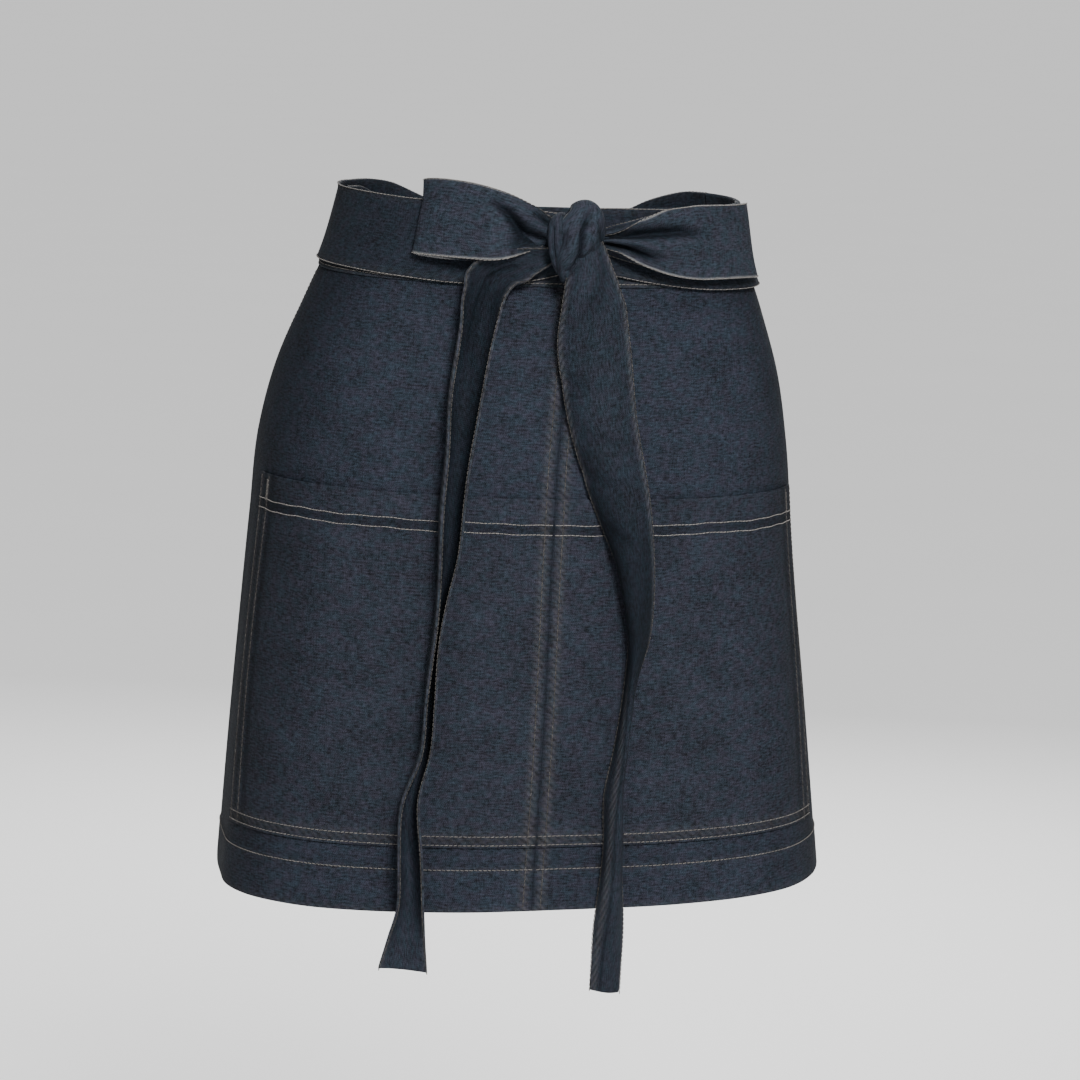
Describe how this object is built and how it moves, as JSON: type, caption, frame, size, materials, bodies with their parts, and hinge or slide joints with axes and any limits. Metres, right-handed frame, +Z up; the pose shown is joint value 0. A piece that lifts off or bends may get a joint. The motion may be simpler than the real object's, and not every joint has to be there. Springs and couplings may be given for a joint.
{
  "type": "waist apron",
  "caption": "Denim half apron worn round the waist, with a wide split front pocket and long ties knotted in a front bow with hanging tails.",
  "frame": {"origin": "middle of the wearer's waist, level with the top edge of the waistband at the sides", "axes": "+Z up along the body, the front of the apron faces -Y, +X to the right of someone who looks at the front"},
  "size_m": [0.396, 0.2556, 0.5086],
  "materials": {
    "skirt_denim": "washed dark indigo denim",
    "pocket_denim": "washed dark indigo denim",
    "band_denim": "dark indigo denim",
    "tie_denim": "doubled dark indigo denim"
  },
  "bodies": {
    "root": {"skirt_panel_left": "skirt_denim", "skirt_panel_right": "skirt_denim", "pocket_left": "pocket_denim", "pocket_right": "pocket_denim", "waistband": "band_denim", "tie_left": "tie_denim", "tie_right": "tie_denim", "bow_loop_left": "tie_denim", "bow_loop_right": "tie_denim", "tail_left": "tie_denim", "tail_right": "tie_denim", "knot": "tie_denim"}
  },
  "joints": []
}
